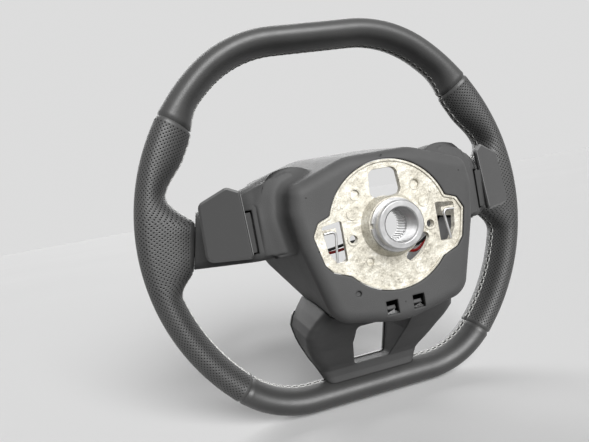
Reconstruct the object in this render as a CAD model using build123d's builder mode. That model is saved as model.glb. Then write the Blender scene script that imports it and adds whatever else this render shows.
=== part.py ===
from build123d import *
import os
from math import atan2, cos, degrees, hypot, pi, radians, sin, sqrt, tan

# Flat-bottomed car steering wheel with shift paddles, its airbag module taken out.
# Millimetres. X runs to the driver's right, Y from the driver to the column, Z up.
# The origin lies on the column bore's axis, level with the hub plate's rear edge.

# Rim outline, to the middle of the grip section
rim_dish = 106.5
rim_half_width = 174.0
rim_top = 175.8
rim_bottom = 153.0
side_radius = 189.5
side_height = 5.8
upper_corner_radius = 108.0
lower_corner_radius = 84.6

# Rim section, outside inwards
grip_half_thickness = 12.4
grip_half_depth = 17.5
leather_wall = 1.4
skin_gap = 0.3
core_half_thickness = 4.6
core_half_depth = 7.0
core_gap = 0.4

# Side grips: angles on the side arc, sizes across it
upper_seam = 35.4
seam_gap = 0.4
section_step = 2.6
thumb_low = 28.0
thumb_high = 31.0
thumb_spread = 13.0
thumb_height = 9.0
root_low = -2.0
root_high = 4.1
root_ramp = 12.0
root_swell = 34.0
root_x = 139.9
root_slope = 0.216

# Hub plate, outlines as (x, z) of the right-hand side from top to bottom
plate_radius = 47.5
plate_wall = 4.5
tab_outline = [(38.0, 16.5), (54.5, 10.8), (59.3, 2.0), (54.5, -19.0), (49.0, -25.5), (30.0, -33.0)]
tab_round = 3.0
bead_width = 1.5
bead_rise = 1.0
rib_angles = (35, 145, 262, 300, 330)
rib_wall = 3.0
rib_depth = 5.0
window_outline = [(11.0, 41.4), (12.6, 20.8)]
window_round = 5.0
slot_radius = 28.2
slot_half_width = 3.8
slot_start = 210.0
slot_sweep = 36.0
guide_x = 30.6
guide_z = -5.1
guide_radius = 3.0
guide_boss_radius = 4.6
pad_x = 28.3
pad_z = 12.6
pad_radius = 4.3
pad_rise = 0.6
dimple_x = 23.6
dimple_z = 26.0
dimple_radius = 3.4
dimple_depth = 1.6
blind_x = 20.4
blind_z = -23.3
blind_radius = 2.6

# Side windows of the plate, with their lugs and retaining wires
tab_window = [(37.2, 9.8), (52.6, 7.6), (50.4, -11.0), (45.2, -19.8), (37.2, -19.8)]
tab_window_round = 1.6
lug_x = 48.0
lug_z = 3.4
lug_width = 12.0
lug_height = 3.4
spring_wire = 1.8
spring_gap = 0.1
spring_route = [(51.6, 2.6), (42.6, 3.4), (45.4, -18.6)]
spring_bend = 3.0

# Sleeve and its boss, radii and heights along the column axis
bore_radius = 12.0
sleeve_radius = 17.3
sleeve_tip = 16.2
sleeve_foot = -15.0
tip_chamfer = 0.9
pilot_depth = 18.0
spline_count = 36
spline_depth = 0.9
spline_width = 1.1
spline_root_gap = 0.1
collar_radius = 19.2
collar_wall = 2.4
notch_width = 3.6
notch_depth = 1.4
notch_angle = 6.0
boss_radius = 23.5
boss_top_radius = 20.0
boss_rise = 6.0
boss_foot = -14.0
insert_gap = 0.1

# Spoke arms of the casting
arm_wall = 5.4
arm_low = -3.0
arm_high = 23.0
arm_front = -105.0
arm_bend = 10.0
arm_inner_x = 55.7
arm_seat = 0.3
arm_tip_x = 171.0
arm_knee_y = -46.0
arm_elbow = (70.0, -65.0)
arm_end_x = 139.0
leg_arm_x = 34.0
leg_arm_width = 9.0
leg_arm_wall = 4.8
leg_arm_bends = [(-4.0, -25.5), (-34.0, -42.0), (-66.0, -68.0)]
leg_arm_knee_z = -126.0
leg_arm_tip_z = -150.0
cut_over = 1.0

# Back cover: box outlines at the rear face and at the front edge
cover_wall = 2.5
cover_rear = 0.8
cover_front = -106.0
plate_gap = 0.5
box_rear_outline = [(26.0, 54.6), (70.0, 39.0), (72.8, 20.0), (68.5, -8.0), (53.0, -63.0), (0.0, -73.5)]
box_front_outline = [(36.0, 65.0), (86.0, 51.0), (88.0, 24.0), (79.0, -20.0), (41.0, -72.0), (0.0, -78.0)]
box_corners = [40.0, 10.0, 24.0, 24.0, 18.0, 60.0]
box_round = 10.0
round_steps = 4

# Spokes of the back cover: sections as (x, rear face, top, rounding of the top edge)
spoke_sections = [(40.0, -22.0, 50.0, 18.0), (55.0, -23.7, 54.0, 18.0), (66.0, -24.9, 55.0, 18.0),
                  (76.0, -26.1, 53.0, 18.0), (84.0, -27.1, 50.2, 18.0), (91.0, -29.3, 47.6, 18.0),
                  (96.0, -32.5, 45.8, 18.0), (101.0, -37.9, 43.9, 18.0), (110.0, -49.0, 40.6, 18.0),
                  (122.0, -63.9, 37.0, 18.0), (134.0, -78.8, 34.5, 18.0), (143.0, -89.9, 33.6, 11.0),
                  (150.0, -98.6, 33.0, 3.6)]
spoke_low_edge = (-8.5, -13.5)
spoke_low_round = 8.0
valley_round = 13.0
valley_sink = 4.6
wall_draft = 0.15
root_gap = 0.4

# Latch windows and pin hole in the back cover's rear face
clip_x = 10.6
clip_z = -59.1
clip_width = 9.4
clip_height = 10.4
pin_hole_x = 34.3
pin_hole_z = -43.8
pin_hole_radius = 2.2
pin_hole_depth = 1.7

# Lower spoke: opening as (x, z), sections as (z, half width, rear face, rear wall)
leg_opening = [(25.3, -80.0), (24.8, -98.0), (17.5, -128.0)]
opening_corner = 4.0
leg_sections = [(-56.0, 50.0, -22.0, 4.0), (-66.0, 58.0, -31.0, 4.0), (-74.0, 63.5, -38.0, 4.0),
                (-82.0, 66.5, -45.5, 4.0), (-88.0, 65.6, -51.5, 4.0), (-94.0, 64.4, -58.0, 4.0),
                (-100.0, 62.6, -65.0, 4.0), (-106.0, 60.2, -71.0, 4.0), (-112.0, 57.8, -77.0, 4.0),
                (-118.0, 55.0, -83.0, 3.5), (-124.0, 51.8, -89.2, 3.0), (-129.0, 49.2, -93.4, 2.5),
                (-136.0, 46.0, -95.8, 2.5), (-152.0, 40.0, -97.0, 2.5)]
leg_round = 10.0
leg_gap = 0.5
rim_clearance = 0.4
tongue_line = [(-47.0, -78.6), (-13.0, -64.0), (-3.0, -59.6)]
tongue_wall = 2.6
tongue_width = 7.0
tongue_gap = 1.0
tongue_way = (-46.0, -14.0)
leg_way_rear = -46.0
wall_way = (-86.0, -60.0)
trim_wall = 4.0
trim_lip = 0.8
trim_top = -70.0
trim_chamfer = 1.2

# Paddle blade, its outline as (x, z) seen along the wheel's axis
blade_outline = [(99.6, 43.5), (109.0, 48.8), (131.4, 39.8), (132.6, -5.2), (99.0, -7.0)]
blade_corners = [3.0, 5.0, 6.0, 6.0, 2.5]
blade_corner = (99.0, -24.2, -7.0)
blade_lean = 0.54
blade_pitch = 0.113
blade_wall = 3.8
blade_bevel = 1.8

# Paddle hinge, inside the spoke
hinge_x = 92.0
hinge_y = -44.0
barrel_radius = 4.0
barrel_low = -3.0
barrel_high = 27.0
paddle_arm = [(92.0, -40.0), (95.5, -40.0), (95.5, -31.0), (99.5, -29.0), (102.4, -30.6),
              (102.4, -33.6), (99.5, -37.0), (99.5, -44.0), (94.0, -47.6)]
arm_slot_x = 94.0
arm_slot_end = 104.5
arm_slot_gap = 1.5
arm_slot_depth = 28.0
pin_radius = 1.6
pin_gap = 0.3
pin_fit = 0.05
ear_radius = 5.2
ear_wall = 3.2
ear_gap = 0.4
housing_inner_x = 83.0
housing_outer_x = 105.0
housing_top = -53.0
seat_gap = 0.2
leaf_wall = 0.8
leaf_width = 14.0
leaf_gap = 0.4
leaf_foot_x = 96.8
leaf_heel_x = 103.2
leaf_tip_y = -40.5
leaf_bend = 1.5
screw_x = 87.5
screw_heights = (3.0, 21.0)
screw_radius = 1.9
screw_gap = 0.1
screw_head_radius = 3.3
screw_head_rise = 2.2
screw_length = 21.5

# Spoke switches on the driver's side
panel_wall = 5.0
panel_inset = 0.6
panel_inner_x = 66.0
panel_round = 1.6
key_gap = 0.3
key_rise = 1.2
key_round = 2.5
key_flange = 1.2
key_travel = 1.0
stem_radius = 2.0
inner_key = (80.0, 20.0, 15.0, 26.0)
outer_key = (121.0, 14.0, 17.0, 22.0)
roller_x = 100.5
roller_z = 17.0
roller_sink = 1.5
roller_radius = 8.0
roller_width = 7.0
roller_gap = 0.4
rib_count = 20
rib_radius = 0.6
axle_radius = 1.5
axle_gap = 0.3
roller_ear = 2.0
board_wall = 1.6
board_depth = 4.0
board_margin = 1.0
board_start_x = 70.0
board_end_x = 128.0
board_window = 1.0
post_radius = 2.0
post_places = [(75.0, 43.0), (75.0, -1.5), (108.0, 36.0), (108.0, -3.0)]

# Paddle leads across the hub
wire_radius = 1.2
red_route = [(-82.7, -60.0, 2.0), (-76.0, -60.0, 2.0), (-64.0, -48.5, -4.0), (-57.0, -47.0, -13.0),
             (-49.0, -46.5, -23.0), (-38.0, -45.0, -31.0), (-24.0, -44.0, -25.0), (-8.0, -44.0, -16.0),
             (10.0, -45.0, -14.0), (30.0, -47.0, -17.0), (48.0, -47.0, -17.0), (57.0, -47.0, -12.0),
             (64.0, -48.5, -4.0), (76.0, -60.0, 2.0), (82.7, -60.0, 2.0)]
black_route = [(-82.7, -57.0, 9.0), (-76.0, -57.0, 9.0), (-63.0, -44.0, -7.0), (-56.0, -43.0, -14.0),
               (-46.0, -42.0, -21.0), (-36.0, -40.0, -25.0), (-18.0, -39.0, -17.0), (0.0, -40.0, -11.0),
               (18.0, -41.0, -11.0), (36.0, -43.0, -14.0), (48.0, -43.0, -15.0), (56.0, -43.0, -13.0),
               (63.0, -44.0, -7.0), (76.0, -57.0, 9.0), (82.7, -57.0, 9.0)]
wire_bend_share = 0.45

os.makedirs("parts", exist_ok=True)

# Values that follow from the dimensions
rim_plane = Plane.XZ.offset(rim_dish)
side_x = rim_half_width - side_radius
upper_z = rim_top - upper_corner_radius
lower_z = lower_corner_radius - rim_bottom
upper_x = side_x + sqrt((side_radius - upper_corner_radius) ** 2 - (upper_z - side_height) ** 2)
lower_x = side_x + sqrt((side_radius - lower_corner_radius) ** 2 - (lower_z - side_height) ** 2)
upper_turn = degrees(atan2(upper_z - side_height, upper_x - side_x))
lower_turn = degrees(atan2(lower_z - side_height, lower_x - side_x))
lower_seam = lower_turn
seam_angle = degrees(seam_gap / side_radius)
skin_inset = leather_wall + skin_gap
plate_face = -bead_rise
plate_front = plate_face - plate_wall
thumb_end = thumb_high + thumb_spread
spoke_rear = spoke_sections[0][1]
spoke_start = spoke_sections[0][0]
spoke_tip = spoke_sections[-1][0]
spoke_low = min(spoke_low_edge)
spoke_high = max(top for x, rear, top, corner in spoke_sections)
spoke_top_edge = [(x, top) for x, rear, top, corner in spoke_sections]
spoke_outline = spoke_top_edge + [(spoke_tip, spoke_low_edge[1]), (spoke_start, spoke_low_edge[0])]
leg_outline = [(half_width, z) for z, half_width, rear, rear_wall in leg_sections]
arm_middle = arm_front + arm_wall / 2
arm_slope = (arm_middle - arm_elbow[1]) / (arm_end_x - arm_elbow[0])
arm_rear_rise = arm_wall / 2 * hypot(1, arm_slope)
side_arm_line = [
    (arm_inner_x, cover_rear - cover_wall - arm_seat),
    (arm_inner_x, arm_knee_y),
    arm_elbow,
    (arm_end_x, arm_middle),
    (arm_tip_x, arm_middle),
]
leg_arm_middle = arm_front + leg_arm_wall / 2
leg_arm_line = leg_arm_bends + [(leg_arm_middle, leg_arm_knee_z), (leg_arm_middle, leg_arm_tip_z)]
spring_y = plate_face - pad_rise + spring_gap + spring_wire / 2
spline_top = sleeve_tip - pilot_depth
spline_crest = bore_radius - spline_depth
panel_front = cover_front - panel_wall
board_front = cover_front + board_depth
roller_y = cover_front + roller_sink
housing_low = barrel_low - ear_gap - ear_wall
housing_high = barrel_high + ear_gap + ear_wall


def level(y):
    """The plane across the wheel's axis at y, drawn in X and Z."""
    return Plane.XZ.offset(-y)


def mirrored(points):
    """A right-hand outline from top to bottom, closed by its mirror image."""
    left = [(-x, z) for x, z in reversed(points) if x > 0]
    return points + left


def blend(value, low, high, run):
    """1 between low and high, easing to 0 over run on either side."""
    distance = max(low - value, value - high, 0) / run
    return (1 + cos(pi * min(distance, 1))) / 2


def quarter_turns():
    """The steps of a quarter turn that a lofted rounding takes."""
    return [radians(90 * step / round_steps) for step in range(round_steps + 1)]


def block(low, high):
    """A square block between two corners."""
    size = [b - a for a, b in zip(low, high)]
    return Pos(*low) * Box(*size, align=Align.MIN, mode=Mode.PRIVATE)


def post(x, z, radius, y, depth):
    """A round post or hole that runs from y towards the driver."""
    with BuildPart(mode=Mode.PRIVATE) as body:
        with BuildSketch(level(y)):
            with Locations((x, z)):
                Circle(radius)
        extrude(amount=depth)
    return body.part


def turned(*points):
    """A body of revolution on the column axis from (radius, y) points."""
    with BuildPart(mode=Mode.PRIVATE) as body:
        with BuildSketch(Plane.XY):
            with BuildLine():
                Polyline(*points, close=True)
            make_face()
        revolve(axis=Axis.Y)
    return body.part


def grip_reach(angle):
    """How far the grip section reaches inwards: thumb rest and spoke root."""
    thumb = thumb_height * blend(angle, thumb_low, thumb_high, thumb_spread)
    root = root_swell * blend(angle, root_low, root_high, root_ramp)
    return grip_half_thickness + thumb + root


def section_plane(angle):
    """The plane across the right-hand side arc, x outwards and y to the column."""
    outward = Vector(cos(radians(angle)), 0, sin(radians(angle)))
    along = Vector(-sin(radians(angle)), 0, cos(radians(angle)))
    middle = Vector(side_x, -rim_dish, side_height) + outward * side_radius
    return Plane(origin=middle, x_dir=outward, z_dir=along)


def grip_section(angle, inset):
    """The grip's section, two half ellipses, drawn inset below the leather's face."""
    depth = grip_half_depth - inset
    with BuildSketch(section_plane(angle)) as section:
        with BuildLine():
            EllipticalCenterArc((0, 0), grip_half_thickness - inset, depth, -90, arc_size=180)
            EllipticalCenterArc((0, 0), grip_reach(angle) - inset, depth, 90, arc_size=180)
        make_face()
    return section.sketch


def grip_body(low, high, inset):
    """The right-hand grip from one arc angle to another, squared off at its spoke root."""
    count = round((high - low) / section_step)
    angles = [low + (high - low) * step / count for step in range(count + 1)]
    with BuildPart(mode=Mode.PRIVATE) as body:
        loft([grip_section(angle, inset) for angle in angles])
    return body.part


def root_edge(z, gap):
    """Where the right-hand grip's slanted root ends at a height, gap closer to the hub."""
    return root_x - gap - root_slope * z


def root_side(far, low, high, gap):
    """The space between far and the slanted root edge, from one height to another."""
    with BuildPart(mode=Mode.PRIVATE) as body:
        with BuildSketch(rim_plane):
            Polygon((far, low), (root_edge(low, gap), low), (root_edge(high, gap), high), (far, high),
                    align=None)
        extrude(amount=rim_dish, both=True)
    return body.part


def root_cut():
    """The block that squares off the right-hand grip at its spoke root."""
    half_height = (root_x - side_x) * sin(radians(root_high + root_ramp))
    return root_side(0, side_height - half_height, side_height + half_height, 0)


def spoke_cut():
    """The space beyond the right-hand spoke's end."""
    return root_side(2 * rim_half_width, spoke_low - cut_over, spoke_high + cut_over, root_gap)


def arm_channel(gap):
    """The right-hand side arm's way into the rim, grown by gap."""
    mouth_x = root_edge(arm_high, gap)
    rear = max(arm_front + arm_wall, seat_y(mouth_x)) + gap
    return block((mouth_x, arm_front - gap, arm_low - gap), (rim_half_width, rear, arm_high + gap))


def leg_channel(side, gap):
    """A lower arm's way into the rim, grown by gap."""
    half_width = leg_arm_width / 2 + gap
    rear = arm_front + leg_arm_wall + gap
    return block(
        (side * leg_arm_x - half_width, arm_front - gap, -rim_bottom),
        (side * leg_arm_x + half_width, rear, 2 * grip_half_thickness - rim_bottom),
    )


def core_section(gap):
    """The core ring's rounded section at the top of the wheel, grown by gap."""
    plane = Plane(origin=(0, -rim_dish, rim_top), x_dir=(0, 0, 1), z_dir=(1, 0, 0))
    with BuildSketch(plane) as section:
        RectangleRounded(
            2 * (core_half_thickness + gap),
            2 * (core_half_depth + gap),
            core_half_thickness / 2 + gap,
        )
    return section.sketch


def plate_outline(y, inset):
    """The hub plate's outline at y: a disc with a tab on each side."""
    with BuildSketch(level(y)) as outline:
        Circle(plate_radius)
        with BuildLine():
            Polyline(*mirrored(tab_outline), close=True)
        make_face()
        fillet(outline.vertices(), tab_round)
        offset(amount=-inset)
    return outline.sketch


def box_face(outline, y, inset):
    """The centre box's outline at y, drawn inset from its outer face."""
    corners = box_corners + box_corners[-2::-1]
    with BuildSketch(level(y)) as face:
        with BuildLine():
            FilletPolyline(*mirrored(outline), radius=corners, close=True)
        make_face()
        offset(amount=-inset)
    return face.sketch


def box_body(inset, rear):
    """The centre box with its rounded rear edge, inset from its outer face."""
    rounding = box_round - inset
    cap = [
        box_face(box_rear_outline, rear - rounding * (1 - sin(turn)), inset + rounding * (1 - cos(turn)))
        for turn in quarter_turns()
    ]
    with BuildPart(mode=Mode.PRIVATE) as body:
        loft(cap)
        loft([cap[0], box_face(box_front_outline, cover_front, inset)], ruled=True)
    return body.part


def spoke_face(y, inset):
    """The right-hand spoke's outline at y, drawn inset from its outer face."""
    with BuildSketch(level(y)) as face:
        Polygon(*spoke_outline, align=None)
        offset(amount=-inset, kind=Kind.INTERSECTION)
    return face.sketch


def spoke_section(x, rear, top, low, front, corner):
    """A slice of the right-hand spoke at x, rounded along its rear edges."""
    with BuildSketch(Plane.YZ.offset(x)) as section:
        with BuildLine():
            Polyline((front, low), (rear, low), (rear, top), (front, top), close=True)
        make_face()
        fillet(section.vertices().group_by(Axis.X)[-1].sort_by(Axis.Y)[0], min(spoke_low_round, corner))
        fillet(section.vertices().group_by(Axis.X)[-1].sort_by(Axis.Y)[-1], corner)
    return section.sketch


def spoke_body(inset, lift):
    """The right-hand spoke, inset from its outer face and lifted towards the column."""
    low_slope = (spoke_low_edge[1] - spoke_low_edge[0]) / (spoke_tip - spoke_start)
    slices = []
    befores = spoke_sections[:1] + spoke_sections[:-1]
    afters = spoke_sections[1:] + spoke_sections[-1:]
    for (x, rear, top, corner), before, after in zip(spoke_sections, befores, afters):
        slope = (after[1] - before[1]) / (after[0] - before[0])
        face = rear + lift - inset * hypot(1, slope)
        low = spoke_low_edge[0] + low_slope * (x - spoke_start) + inset
        front = 2 * cover_front if inset else cover_front
        slices.append(spoke_section(x, face, top - inset, low, front, corner - inset))
    with BuildPart(mode=Mode.PRIVATE) as body:
        loft(slices)
    return body.part


def valley_body():
    """The hollow curve where the box's wall runs out into the right-hand spoke."""
    floor = spoke_rear - valley_sink
    rings = []
    for turn in quarter_turns():
        y = floor + valley_round * (1 - cos(turn))
        spread = valley_round * (1 - sin(turn)) + wall_draft * (cover_rear - box_round - y)
        rings.append(box_face(box_rear_outline, y, -spread))
    with BuildPart(mode=Mode.PRIVATE) as body:
        loft(rings)
        add(spoke_body(0, valley_round), mode=Mode.INTERSECT)
    return body.part


def leg_face(y, inset):
    """The lower spoke's outline at y with the opening between its legs."""
    with BuildSketch(level(y)) as face:
        with BuildLine():
            Polyline(*mirrored(leg_outline), close=True)
        make_face()
        offset(amount=-inset, kind=Kind.INTERSECTION)
        with BuildSketch(mode=Mode.PRIVATE) as opening:
            with BuildLine():
                FilletPolyline(*mirrored(leg_opening), radius=opening_corner, close=True)
            make_face()
            offset(amount=inset)
        add(opening.sketch, mode=Mode.SUBTRACT)
    return face.sketch


def rim_envelope():
    """The straight bottom stretch of the rim with a little air round it."""
    with BuildPart(mode=Mode.PRIVATE) as body:
        with BuildSketch(Plane.YZ):
            with Locations((-rim_dish, -rim_bottom)):
                Ellipse(grip_half_depth + rim_clearance, grip_half_thickness + rim_clearance)
        extrude(amount=lower_x, both=True)
    return body.part


def leg_section(z, half_width, rear, front, corner):
    """A slice of the lower spoke at z, rounded along its rear edges."""
    with BuildSketch(Plane.XY.offset(z)) as section:
        with BuildLine():
            Polyline((-half_width, rear), (half_width, rear), (half_width, front), (-half_width, front),
                     close=True)
        make_face()
        fillet(section.vertices().group_by(Axis.Y)[-1], corner)
    return section.sketch


def leg_body(hollow):
    """The lower spoke behind its front edge, or the hollow inside it."""
    slices = []
    for z, half_width, rear, rear_wall in leg_sections:
        corner = min(leg_round, rear - cover_front - cover_wall)
        if hollow:
            slices.append(leg_section(z, half_width - cover_wall, rear - rear_wall, 2 * cover_front,
                                      corner - cover_wall))
        else:
            slices.append(leg_section(z, half_width, rear, cover_front, corner))
    with BuildPart(mode=Mode.PRIVATE) as body:
        loft(slices, ruled=True)
        with BuildSketch(level(0)):
            with BuildLine():
                FilletPolyline(*mirrored(leg_opening), radius=opening_corner, close=True)
            make_face()
            offset(amount=cover_wall if hollow else 0)
        extrude(amount=-2 * cover_front, mode=Mode.SUBTRACT)
    return body.part


def rounded_block(centre_x, centre_z, width, height, corner, y, depth):
    """A block with rounded corners that runs from y towards the driver."""
    with BuildPart(mode=Mode.PRIVATE) as body:
        with BuildSketch(level(y)):
            with Locations((centre_x, centre_z)):
                RectangleRounded(width, height, corner)
        extrude(amount=depth)
    return body.part


def key_body(place):
    """A push key: cap through the panel, flange behind it, stem towards the board."""
    x, z, width, height = place
    flange_front = cover_front + key_gap
    flange_rear = flange_front + key_flange
    stem_rear = board_front - key_travel - key_gap
    cap_front = panel_front - key_rise
    with BuildPart(mode=Mode.PRIVATE) as body:
        add(rounded_block(x, z, width - 2 * key_gap, height - 2 * key_gap, key_round - key_gap,
                          flange_front, flange_front - cap_front))
        fillet(body.faces().sort_by(Axis.Y)[0].edges(), key_rise / 2)
        add(rounded_block(x, z, width + 2 * key_flange, height + 2 * key_flange, key_round,
                          flange_rear, key_flange))
        add(post(x, z, stem_radius, stem_rear, stem_rear - flange_front))
    return body.part


def seat_y(x):
    """The housing's seat on the rear face of the right-hand side arm."""
    return arm_elbow[1] + arm_slope * (x - arm_elbow[0]) + arm_rear_rise + seat_gap


def lead(name, route):
    """A round lead along its route with the widest bends that its runs allow."""
    corners = [Vector(*point) for point in route]
    bends = []
    for before, corner, after in zip(corners, corners[1:], corners[2:]):
        turn = radians((corner - before).get_angle(after - corner))
        shorter = min((corner - before).length, (after - corner).length)
        bends.append(wire_bend_share * shorter / tan(turn / 2))
    with BuildPart(mode=Mode.PRIVATE) as body:
        with BuildLine() as line:
            FilletPolyline(*route, radius=bends)
        with BuildSketch(Plane(line.line @ 0, z_dir=line.line % 0)):
            Circle(wire_radius)
        sweep(path=line.line)
    length = line.wire().length
    share = body.part.volume / (pi * wire_radius ** 2 * length)
    print(name, "length", round(length, 1), "volume share", round(share, 4))
    print(name, "bends", [round(bend, 1) for bend in bends])
    return body.part


# Rim paths over the top between the thumb rests, under the bottom, and of the right half of the core
with BuildLine(rim_plane) as top_path:
    CenterArc((side_x, side_height), side_radius, thumb_end, upper_turn - thumb_end)
    CenterArc((upper_x, upper_z), upper_corner_radius, upper_turn, 90 - upper_turn)
    Line((upper_x, rim_top), (0, rim_top))
    mirror(about=Plane.YZ)

with BuildLine(rim_plane) as bottom_path:
    CenterArc((lower_x, lower_z), lower_corner_radius, lower_turn, -90 - lower_turn)
    Line((lower_x, -rim_bottom), (0, -rim_bottom))
    mirror(about=Plane.YZ)

with BuildLine(rim_plane) as core_path:
    Line((0, rim_top), (upper_x, rim_top))
    CenterArc((upper_x, upper_z), upper_corner_radius, 90, upper_turn - 90)
    CenterArc((side_x, side_height), side_radius, upper_turn, lower_turn - upper_turn)
    CenterArc((lower_x, lower_z), lower_corner_radius, lower_turn, -90 - lower_turn)
    Line((lower_x, -rim_bottom), (0, -rim_bottom))

# Leather wraps
with BuildPart() as leather_top:
    for inset, mode in ((0, Mode.ADD), (leather_wall, Mode.SUBTRACT)):
        sweep(grip_section(thumb_end, inset), path=top_path.line, mode=mode)
        thumb_rest = grip_body(upper_seam, thumb_end, inset)
        add(thumb_rest, mode=mode)
        mirror(thumb_rest, about=Plane.YZ, mode=mode)

with BuildPart() as leather_bottom:
    sweep(grip_section(lower_seam, 0), path=bottom_path.line)
    sweep(grip_section(lower_seam, leather_wall), path=bottom_path.line, mode=Mode.SUBTRACT)
    for side in (-1, 1):
        add(leg_channel(side, core_gap), mode=Mode.SUBTRACT)

with BuildPart() as right_grip_leather:
    add(grip_body(lower_seam + seam_angle, upper_seam - seam_angle, 0))
    add(grip_body(lower_seam + seam_angle, upper_seam - seam_angle, leather_wall), mode=Mode.SUBTRACT)
    for space in (root_cut(), arm_channel(core_gap)):
        add(space, mode=Mode.SUBTRACT)

with BuildPart() as left_grip_leather:
    mirror(right_grip_leather.part, about=Plane.YZ)

# Foam over the core ring
with BuildPart() as right_grip_foam:
    add(grip_body(lower_seam, thumb_end, skin_inset))
    add(root_cut(), mode=Mode.SUBTRACT)

with BuildPart() as core_space:
    sweep(core_section(core_gap), path=core_path.line)
    mirror(about=Plane.YZ)
    add(arm_channel(core_gap))
    mirror(arm_channel(core_gap), about=Plane.YZ)
    for side in (-1, 1):
        add(leg_channel(side, core_gap))

with BuildPart() as rim_foam:
    sweep(grip_section(thumb_end, skin_inset), path=top_path.line)
    sweep(grip_section(lower_seam, skin_inset), path=bottom_path.line)
    add(right_grip_foam.part)
    mirror(right_grip_foam.part, about=Plane.YZ)
    add(core_space.part, mode=Mode.SUBTRACT)

# Armature: hub plate, spoke arms and core ring in one casting
with BuildPart() as rim_core:
    sweep(core_section(0), path=core_path.line)
    mirror(about=Plane.YZ)

with BuildPart() as armature:
    extrude(plate_outline(plate_face, 0), amount=plate_wall)
    extrude(plate_outline(0, 0), amount=bead_rise)
    extrude(plate_outline(0, bead_width), amount=bead_rise, mode=Mode.SUBTRACT)
    add(turned((0, plate_front), (boss_radius, plate_front), (boss_radius, plate_face),
               (boss_top_radius, boss_rise), (0, boss_rise)))
    add(turned((0, plate_front), (boss_radius, plate_front), (boss_top_radius, boss_foot), (0, boss_foot)))
    for angle in rib_angles:
        with BuildSketch(level(plate_front)):
            with Locations(Rot(0, 0, angle)):
                Rectangle(plate_radius - rib_wall, rib_wall, align=(Align.MIN, Align.CENTER))
        extrude(amount=rib_depth)
    for side in (-1, 1):
        add(post(side * guide_x, guide_z, guide_boss_radius, plate_face + pad_rise, plate_wall))
        add(post(side * pad_x, pad_z, pad_radius, plate_face + pad_rise, plate_wall))
    with BuildSketch(level(plate_face + rib_depth)):
        with BuildLine():
            FilletPolyline(*mirrored(window_outline), radius=window_round, close=True)
        make_face()
        with BuildLine(mode=Mode.PRIVATE) as slot_line:
            CenterArc((0, 0), slot_radius, slot_start, slot_sweep)
        SlotArc(slot_line.edge(), 2 * slot_half_width)
        for side in (-1, 1):
            with BuildLine():
                FilletPolyline(*[(side * x, z) for x, z in tab_window], radius=tab_window_round, close=True)
            make_face()
            with Locations((side * guide_x, guide_z)):
                Circle(guide_radius)
    extrude(amount=2 * rib_depth + plate_wall, mode=Mode.SUBTRACT)
    for side in (-1, 1):
        add(post(side * dimple_x, dimple_z, dimple_radius, plate_face, dimple_depth), mode=Mode.SUBTRACT)
        with BuildSketch(level(plate_face - pad_rise)):
            with Locations((side * lug_x, lug_z)):
                Rectangle(lug_width, lug_height)
        extrude(amount=plate_wall - pad_rise)
        with BuildSketch(Plane.XY.offset(arm_low)):
            with BuildLine():
                FilletPolyline(*[(side * x, y) for x, y in side_arm_line], radius=arm_bend)
            trace(line_width=arm_wall)
        extrude(amount=arm_high - arm_low)
        with BuildSketch(Plane.YZ.offset(side * leg_arm_x - leg_arm_width / 2)):
            with BuildLine():
                FilletPolyline(*leg_arm_line, radius=arm_bend)
            trace(line_width=leg_arm_wall)
        extrude(amount=leg_arm_width)
        for z in screw_heights:
            add(post(side * screw_x, z, screw_radius + screw_gap, housing_top, screw_length + screw_gap),
                mode=Mode.SUBTRACT)
    add(post(blind_x, blind_z, blind_radius, plate_face, dimple_depth), mode=Mode.SUBTRACT)
    add(post(0, 0, sleeve_radius + insert_gap, boss_rise + cut_over, boss_rise - boss_foot + 2 * cut_over),
        mode=Mode.SUBTRACT)
    add(rim_core.part)

# Hub sleeve: pilot bore at the tip, splines below it
with BuildPart() as hub_sleeve:
    add(turned((spline_crest, sleeve_foot), (sleeve_radius, sleeve_foot), (sleeve_radius, boss_rise),
               (collar_radius, boss_rise), (collar_radius, boss_rise + collar_wall),
               (sleeve_radius, boss_rise + collar_wall), (sleeve_radius, sleeve_tip - tip_chamfer),
               (sleeve_radius - tip_chamfer, sleeve_tip), (bore_radius + tip_chamfer, sleeve_tip),
               (bore_radius, sleeve_tip - tip_chamfer), (bore_radius, spline_top),
               (spline_crest, spline_top)))
    with BuildSketch(level(spline_top)):
        with PolarLocations(0, spline_count):
            with Locations((spline_crest - spline_depth, 0)):
                Rectangle(2 * spline_depth - spline_root_gap, spline_width, align=(Align.MIN, Align.CENTER))
    extrude(amount=spline_top - sleeve_foot, mode=Mode.SUBTRACT)
    with BuildSketch(level(sleeve_tip)):
        with Locations(Rot(0, 0, notch_angle)):
            with Locations((collar_radius, 0)):
                Rectangle(2 * notch_depth, notch_width)
    extrude(amount=sleeve_tip - boss_rise, mode=Mode.SUBTRACT)

# Retaining spring wires, hooked over the lug of each side window
with BuildPart() as right_retaining_spring:
    with BuildLine() as spring_line:
        FilletPolyline(*[(x, spring_y, z) for x, z in spring_route], radius=spring_bend)
    with BuildSketch(Plane(spring_line.line @ 0, z_dir=spring_line.line % 0)):
        Circle(spring_wire / 2)
    sweep(path=spring_line.line)

with BuildPart() as left_retaining_spring:
    mirror(right_retaining_spring.part, about=Plane.YZ)

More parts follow.
